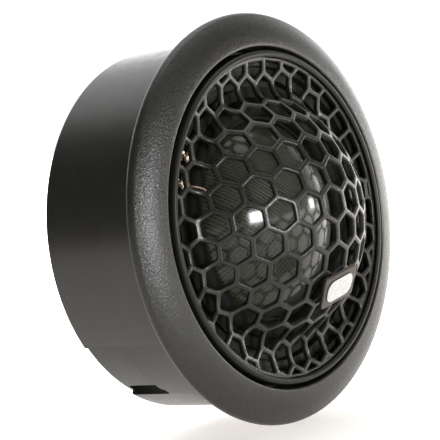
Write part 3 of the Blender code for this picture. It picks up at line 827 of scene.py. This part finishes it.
def add_cell(shape, profile, centre, limit):
    corners = clipped_cell(centre, limit)
    if len(corners) < 3 or flat_area(corners) < 0.02:
        return
    samples = outline_samples(corners, limit)
    sides = cell_sides(corners)
    middle, room = roomiest(corners, sides)
    opened = room > LEAST_ROOM

    def ring(inset, depth):
        flat = [s if inset == 0 else inward(s, middle, sides, inset) for s in samples]
        return [shape.verts.new(sheet_point(profile, p, depth)) for p in flat]

    if opened:
        rings = [ring(*step) for step in bar_section()]
        for here, there in zip(rings, rings[1:]):
            bridge(shape, here, there)
    else:
        rings = [ring(0.0, 0.0), ring(0.0, GRILLE_THICKNESS)]
        for closed, depth in zip(rings, (0.0, GRILLE_THICKNESS)):
            hub = shape.verts.new(sheet_point(profile, middle, depth))
            for a, b in zip(closed, closed[1:] + closed[:1]):
                shape.faces.new((a, b, hub))
    add_rim(shape, profile, samples, rings[0], rings[-1], limit)


def bridge(shape, here, there):
    for a, b, c, d in zip(here, here[1:] + here[:1], there[1:] + there[:1], there):
        shape.faces.new((a, b, c, d))


def add_rim(shape, profile, samples, top, bottom, limit):
    """Carry a cell's edge on the rim out to the sheet's own edge, with eased corners."""
    outer = profile[-1][0]
    section = ((limit, 0.0), (outer - 0.08, 0.0), (outer, 0.08), (outer, GRILLE_THICKNESS - 0.08),
               (outer - 0.08, GRILLE_THICKNESS), (limit, GRILLE_THICKNESS))
    count = len(samples)
    for i, a in enumerate(samples):
        k = (i + 1) % count
        b = samples[k]
        if abs(a.length - limit) > 1e-6 or abs(b.length - limit) > 1e-6:
            continue
        strips = []
        for n, (distance, depth) in enumerate(section):
            if n in (0, len(section) - 1):
                ring = top if n == 0 else bottom
                strips.append((ring[i], ring[k]))
            else:
                strips.append(tuple(shape.verts.new(sheet_point(profile, p.normalized() * distance, depth))
                                    for p in (a, b)))
        for (p, q), (r, s) in zip(strips, strips[1:]):
            shape.faces.new((p, q, s, r))


def make_grille(finishes):
    profile = sheet_profile()
    limit = next(d for d, r, _ in profile if r >= CELLS_END_R)
    shape = bmesh.new()
    reach = int(limit / CELL_PITCH) + 2
    side = CELL_PITCH / math.sqrt(3)
    for i in range(-reach, reach + 1):
        for j in range(-reach, reach + 1):
            centre = Vector((CELL_OFFSET[0] + CELL_PITCH * (i + 0.5 * j),
                             CELL_OFFSET[1] + CELL_PITCH * j * math.sqrt(0.75)))
            if centre.length < limit + side:
                add_cell(shape, profile, centre, limit)
    bmesh.ops.remove_doubles(shape, verts=shape.verts, dist=0.002 * MM)
    grille = mesh_object("honeycomb_grille", shape, finishes["grille_paint"], math.radians(50))
    return place(grille, "driver_insert", "grille_paint", "hex_grille")


# ---------------------------------------------------------------- badge

def badge_part(name, size, thickness, lift, finish, rounding, bevel, crown):
    """A rounded plate, eased and slightly crowned, tangent to the grille's cap and lift above it."""
    shape = bmesh.new()
    half = Vector((size[0] / 2 - rounding, size[1] / 2 - rounding))
    outline = []
    for k, (sx, sz) in enumerate(((1, 1), (-1, 1), (-1, -1), (1, -1))):
        for i in range(9):
            outline.append((Vector((sx * half.x, sz * half.y)), heading(math.radians(90 * k + 90 * i / 8))))
    steps = [(rounding - bevel, 0.0), (rounding, bevel), (rounding, thickness - bevel)]
    for turn in (heading(math.radians(a)) for a in (30, 60, 90)):
        steps.append((rounding - bevel * (1 - turn.x), thickness - bevel * (1 - turn.y)))
    steps += [(rounding - bevel - 0.3, thickness + crown / 2)]
    rings = []
    for reach, level in steps:
        rings.append([shape.verts.new(Vector((c.x + d.x * reach, -level, c.y + d.y * reach)) * MM)
                      for c, d in outline])
    for here, there in zip(rings, rings[1:]):
        bridge(shape, here, there)
    shape.faces.new(rings[0])
    hub = shape.verts.new(Vector((0, -(thickness + crown), 0)) * MM)
    for a, b in zip(rings[-1], rings[-1][1:] + rings[-1][:1]):
        shape.faces.new((a, b, hub))
    made = mesh_object(name, shape, finish)
    tilt = math.radians(BADGE_TILT)
    centre = GRILLE_APEX - GRILLE_SPHERE_R
    reach = GRILLE_SPHERE_R + lift
    turn = Matrix.Rotation(tilt, 4, "X") @ Matrix.Rotation(-math.radians(BADGE_ROLL), 4, "Y")
    seat = point(reach * math.sin(tilt), -90, centre + reach * math.cos(tilt))
    made.data.transform(Matrix.Translation(seat) @ turn)
    return made


def make_badge(finishes):
    plate = badge_part("badge_plate_fine", BADGE_SIZE, BADGE_THICKNESS, GAP, finishes["badge_metal"],
                       0.5, 0.12, 0.0)
    place(plate, "driver_insert", "badge_metal", "badge_plate")
    inlay = badge_part("badge_inlay_fine", INLAY_SIZE, INLAY_THICKNESS, GAP + BADGE_THICKNESS,
                       finishes["badge_white"], 1.2, 0.08, 0.02)
    place(inlay, "driver_insert", "badge_white", "badge_inlay")


# ---------------------------------------------------------------- dome and surround

def dome_point(u, v):
    """Direction from the dome's centre to a place on it; u and v run from -1 to 1 across its edge."""
    x, z = u * math.sqrt(1 - v * v / 2), v * math.sqrt(1 - u * u / 2)
    flat = Vector((x, z)).length
    foot = math.asin(DOME_R / DOME_SPHERE_R)
    away = foot * flat
    spread = math.sin(away) / flat if flat > 1e-9 else foot
    return Vector((x * spread, -math.cos(away), z * spread))


DOME_STEPS = 120


def make_dome(finishes):
    """The dome as one smooth sheet with its own thickness; its weave is in the material."""
    shape = bmesh.new()
    centre = Vector((0, -DOME_CENTRE, 0))
    layers = []
    for layer in range(2):
        rows = []
        for i in range(DOME_STEPS + 1):
            row = []
            for j in range(DOME_STEPS + 1):
                u, v = 2 * i / DOME_STEPS - 1, 2 * j / DOME_STEPS - 1
                ray = dome_point(u, v)
                radius = DOME_SPHERE_R - layer * DOME_THICKNESS
                row.append(shape.verts.new((centre + ray * radius) * MM))
            rows.append(row)
        layers.append(rows)
        for i in range(DOME_STEPS):
            for j in range(DOME_STEPS):
                shape.faces.new((rows[i][j], rows[i + 1][j], rows[i + 1][j + 1], rows[i][j + 1]))
    last = DOME_STEPS
    edge = [(i, 0) for i in range(last)] + [(last, j) for j in range(last)]
    edge += [(last - i, last) for i in range(last)] + [(0, last - j) for j in range(last)]
    bridge(shape, [layers[0][i][j] for i, j in edge], [layers[1][i][j] for i, j in edge])
    dome = mesh_object("silk_dome", shape, finishes["dome_silk"], math.radians(60))
    return place(dome, "voice_coil", "dome_silk", "dome_diaphragm")


SURROUND_SECTORS = 12


def surround_profile():
    half = SURROUND_THICKNESS / 2
    centre = (ROLL_CENTRE_R, SURROUND_LEVEL)
    outer = arc(centre, ROLL_R + half, 172, 8, 18)
    inner = arc(centre, ROLL_R - half, 8, 172, 18)
    profile = [(SURROUND_R[0], SURROUND_LEVEL - half), (SURROUND_R[0], SURROUND_LEVEL + half)] + outer
    profile += [(SURROUND_R[1], SURROUND_LEVEL + half), (SURROUND_R[1], SURROUND_LEVEL - half)]
    profile += [(inner[0][0], SURROUND_LEVEL - half)] + inner[1:-1] + [(inner[-1][0], SURROUND_LEVEL - half)]
    return profile


def make_surround(finishes):
    """The half roll in sectors, each a turned piece reaching from the frame to the dome over its own angle.
    """
    sweep = FULL_TURN / SURROUND_SECTORS
    for i in range(SURROUND_SECTORS):
        start = i * sweep
        sector = turned(f"surround_sector_{i + 1:02d}", surround_profile(), finishes["surround_rubber"], 20,
                        start, start + sweep)
        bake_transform(sector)
        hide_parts("surround")


def lead_route(angle):
    clear = ROLL_R + SURROUND_THICKNESS / 2 + 0.25
    route = arc((ROLL_CENTRE_R, SURROUND_LEVEL), clear, 165, 20, 24)
    route += [(16.6, 0.75), (17.2, 0.7), (17.9, 0.62)]
    return [point(r, angle, f) for r, f in route]


def make_leads(finishes):
    for name, angle in TERMINAL_ANGLES.items():
        lead = tube(f"lead_{name}", lead_route(angle), 0.14, finishes["tinsel"])
        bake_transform(lead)
        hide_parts(f"lead_wire_{name}")


def solder_blob(place_at, radius, seed):
    """A lumpy drop of solder, flattened where it sits."""
    shape = bmesh.new()
    bmesh.ops.create_icosphere(shape, subdivisions=4, radius=radius * MM)
    for vert in shape.verts:
        spot = vert.co / MM
        lump = noise.noise(spot * 4 + Vector((seed, 0, 0))) * 0.22 + noise.noise(spot * 9) * 0.12
        vert.co *= 1 + lump
        vert.co.y *= 0.62
    bmesh.ops.translate(shape, vec=place_at, verts=shape.verts)
    return shape


def make_terminals(finishes):
    for seed, (name, angle) in enumerate(TERMINAL_ANGLES.items()):
        pad = polar_block(f"tag_{name}", (17.55, 18.4), 1.3, (0.12, 0.4), angle, finishes["brass"], 0.05)
        blade = polar_block(f"joined_blade_{name}", (17.75, 18.15), 0.9, (-3.0, 0.3), angle, None, 0.05)
        combine(pad, [blade], "UNION")
        shape = solder_blob(point(17.1, angle, 0.72), 0.62, seed * 7.0)
        shape.from_mesh(pad.data)
        shape.to_mesh(pad.data)
        shape.free()
        pad.data.shade_smooth()
        pad.data.set_sharp_from_angle(angle=SHARP_ANGLE)
        place(pad, "driver_insert", "brass", f"terminal_{name}")


def make_diaphragm_ring(finishes):
    outline = [(15.9, -0.9), (15.9, -0.1), (18.4, -0.1), (18.4, -0.9)]
    ring = turned("diaphragm_ring_fine", rounded(outline, 0.1), finishes["insert_plastic"])
    combine(ring, [polar_block(f"cutter_notch_{name}", (17.4, 19.5), 1.9, (-1.5, 0.5), angle)
                   for name, angle in TERMINAL_ANGLES.items()])
    return place(ring, "driver_insert", "insert_plastic", "diaphragm_ring")


# ---------------------------------------------------------------- rear pieces

def make_chamber(finishes):
    inner, outer = CHAMBER
    back, front = CHAMBER_FLOOR
    outline = [(inner, CHAMBER_FLANGE[1]), (NECK_R, CHAMBER_FLANGE[1]), (NECK_R, CHAMBER_FLANGE[0]),
               (outer, CHAMBER_FLANGE[0])]
    outline += arc((outer - 0.5, back + 0.5), 0.5, 0, -90, 8)
    outline += [(0, back), (0, front), (inner, front)]
    can = turned("rear_chamber_fine", rounded(outline, 0.12), finishes["insert_plastic"])
    cutters = [drill(f"cutter_clearance_{i}", 0.75, (-9.0, -6.5), SCREW_CIRCLE_R, angle, 24)
               for i, angle in enumerate(LUG_ANGLES)]
    cutters.append(drill("cutter_lead_hole", 2.3, (back - 1, front + 1), GROMMET_RADIUS, SLIT_ANGLE))
    combine(can, cutters)
    return place(can, "driver_insert", "insert_plastic", "rear_chamber")


def make_grommet(finishes):
    back, front = CHAMBER_FLOOR
    outline = [(1.3, back - 0.9), (2.6, back - 0.9), (3.0, back - 0.6), (3.0, back - 0.3), (2.0, back - 0.3),
               (2.0, front + 0.3), (2.8, front + 0.3), (2.8, front + 0.8), (1.3, front + 0.8)]
    bush = turned("lead_bush", rounded(outline, 0.15), finishes["rubber"], 72)
    shifted(bush, point(GROMMET_RADIUS, SLIT_ANGLE, 0))
    return place(bush, "driver_insert", "rubber", "lead_grommet")


def make_screws(finishes):
    head = CHAMBER_FLANGE[0] - GAP
    outline = [(0, -4.2), (0.3, -4.3), (0.55, -4.6), (0.55, head), (0.9, head), (0.95, head - 0.35),
               (0.7, head - 0.7), (0.4, head - 0.7), (0.4, head - 0.35), (0, head - 0.35)]
    for i, angle in enumerate(LUG_ANGLES):
        screw = turned(f"pan_screw_{i + 1}", rounded(outline, 0.06, 2), finishes["motor_steel"], 36)
        shifted(screw, point(SCREW_CIRCLE_R, angle, 0))
        place(screw, "driver_insert", "motor_steel", f"assembly_screw_{i + 1}")


# ---------------------------------------------------------------- camera, floor and light

CAMERA_PLACE = (-179.27, -142.97, 15.94)
CAMERA_AIM = (-4.12, 4.09, 0.79)
CAMERA_ROLL = -9.28
CAMERA_LENS = 143.2
FLOOR_GLOW = (0.62, 3.4)      # painted light, the floor's own glow: near the object, and 0.2 m to its right in place of the backdrop's light
FLOOR_GLOW_REACH = 200.0
FLOOR_WARMTH = (1.0, 0.94, 0.88)
BACKDROP_RADIANCE = 3.9
OVERHEAD_SHARE = 0.3          # how bright the backdrop still is high up
DARK_SIDE_RADIANCE = 0.10
SEEN_BACKDROP_RADIANCE = 1.2  # what the camera sees of the backdrop: plain white


def make_camera():
    data = bpy.data.cameras.new("camera")
    data.sensor_width = 36.0
    data.lens = CAMERA_LENS
    data.clip_start = 0.01
    camera = bpy.data.objects.new("camera", data)
    camera.location = Vector(CAMERA_PLACE) * MM
    facing = (Vector(CAMERA_AIM) - Vector(CAMERA_PLACE)).to_track_quat("-Z", "Y")
    camera.rotation_mode = "QUATERNION"
    camera.rotation_quaternion = facing @ Quaternion((0, 0, 1), math.radians(CAMERA_ROLL))
    bpy.context.collection.objects.link(camera)
    bpy.context.scene.camera = camera


def make_floor():
    shape = bmesh.new()
    bmesh.ops.create_grid(shape, x_segments=8, y_segments=8, size=2.0)
    finish = Finish("pale_floor", (0.86, 0.86, 0.86), 0.7)
    finish.tint(finish.noise(40.0), (0.85, 0.85, 0.85), (0.88, 0.88, 0.88))
    # Painted light: the floor glows warm, faintly near the object and more brightly to its right, standing in
    # for the backdrop's light on it.
    finish.set(finish.shader, "Emission Color", (*FLOOR_WARMTH, 1))
    glow = finish.ramp(finish.separate()["X"], *FLOOR_GLOW, 0.0, FLOOR_GLOW_REACH)
    finish.link(glow, finish.shader.inputs["Emission Strength"])
    floor = mesh_object("floor", shape, finish.made)
    floor.location = (0, 0, CAD_BOX[0].z - 0.0001)


def soft_light(name, azimuth, elevation, distance, size, radiance, colour=(1, 1, 1)):
    """A rectangular softbox, size metres across, turned to the object; azimuth 0 is straight in front."""
    data = bpy.data.lights.new(name, "AREA")
    data.shape = "RECTANGLE"
    data.size, data.size_y = size
    data.energy = radiance * math.pi * size[0] * size[1]
    data.color = colour
    light = bpy.data.objects.new(name, data)
    turn, rise = math.radians(azimuth), math.radians(elevation)
    away = Vector((math.sin(turn) * math.cos(rise), -math.cos(turn) * math.cos(rise), math.sin(rise)))
    light.location = away * distance
    light.rotation_euler = away.to_track_quat("Z", "Y").to_euler()
    light.visible_camera = False
    bpy.context.collection.objects.link(light)


def add_node(tree, kind, **inputs):
    """A new node with some inputs set; a space in an input's name is written as an underscore."""
    node = tree.nodes.new(kind)
    for socket, value in inputs.items():
        node.inputs[socket.replace("_", " ")].default_value = value
    return node


def fade(tree, coordinate, axis, start, end):
    """Rises smoothly from 0 to 1 as a direction's component along an axis goes from start to end."""
    facing = add_node(tree, "ShaderNodeVectorMath")
    facing.operation = "DOT_PRODUCT"
    facing.inputs[1].default_value = Vector(axis).normalized()
    edge = add_node(tree, "ShaderNodeMapRange", From_Min=start, From_Max=end)
    edge.interpolation_type = "SMOOTHSTEP"
    tree.links.new(coordinate.outputs["Generated"], facing.inputs[0])
    tree.links.new(facing.outputs["Value"], edge.inputs["Value"])
    return edge.outputs["Result"]


def product(tree, a, b):
    node = add_node(tree, "ShaderNodeMath")
    node.operation = "MULTIPLY"
    tree.links.new(a, node.inputs[0])
    tree.links.new(b, node.inputs[1])
    return node.outputs["Value"]


def make_world():
    """A white backdrop behind and to the right lights the object; the rest of the room is dim."""
    world = bpy.data.worlds.new("studio")
    world.use_nodes = True
    tree = world.node_tree
    tree.nodes.clear()
    coordinate = add_node(tree, "ShaderNodeTexCoord")
    behind = fade(tree, coordinate, (0, 1, 0), -0.36, 0.2)
    right = fade(tree, coordinate, (1, 0, 0.25), -0.02, 0.3)
    low = fade(tree, coordinate, (0, 0, -1), -0.5, -0.02)
    dimmed = add_node(tree, "ShaderNodeMapRange", To_Min=OVERHEAD_SHARE)
    tree.links.new(low, dimmed.inputs["Value"])
    lit = product(tree, product(tree, behind, right), dimmed.outputs["Result"])
    level = add_node(tree, "ShaderNodeMapRange", To_Min=DARK_SIDE_RADIANCE, To_Max=BACKDROP_RADIANCE)
    tree.links.new(lit, level.inputs["Value"])
    room = add_node(tree, "ShaderNodeBackground", Color=(1, 1, 1, 1))
    tree.links.new(level.outputs["Result"], room.inputs["Strength"])
    seen = add_node(tree, "ShaderNodeBackground", Color=(1, 1, 1, 1), Strength=SEEN_BACKDROP_RADIANCE)
    rays = add_node(tree, "ShaderNodeLightPath")
    choose = add_node(tree, "ShaderNodeMixShader")
    tree.links.new(rays.outputs["Is Camera Ray"], choose.inputs["Fac"])
    tree.links.new(room.outputs["Background"], choose.inputs[1])
    tree.links.new(seen.outputs["Background"], choose.inputs[2])
    output = add_node(tree, "ShaderNodeOutputWorld")
    tree.links.new(choose.outputs["Shader"], output.inputs["Surface"])
    bpy.context.scene.world = world


def make_stage():
    make_camera()
    make_floor()
    make_world()
    soft_light("face_softbox", -6.5, 0.0, 1.0, (0.25, 0.26), 60.0, (0.97, 0.98, 1.0))
    soft_light("side_softbox", 66.0, -4.0, 1.0, (0.2, 0.26), 22.0)
    soft_light("top_softbox", 60.0, 70.0, 1.2, (0.8, 0.8), 2.0)
    bpy.context.scene.view_settings.view_transform = "Standard"


# ---------------------------------------------------------------- the whole object


def main():
    make_stage()
    finishes = make_materials()
    dress_cad_nodes(finishes)
    for make in (make_cup, make_faceplate, make_bezel, make_grille, make_badge, make_dome, make_surround,
                 make_leads, make_terminals, make_diaphragm_ring, make_chamber, make_grommet, make_screws):
        make(finishes)


main()
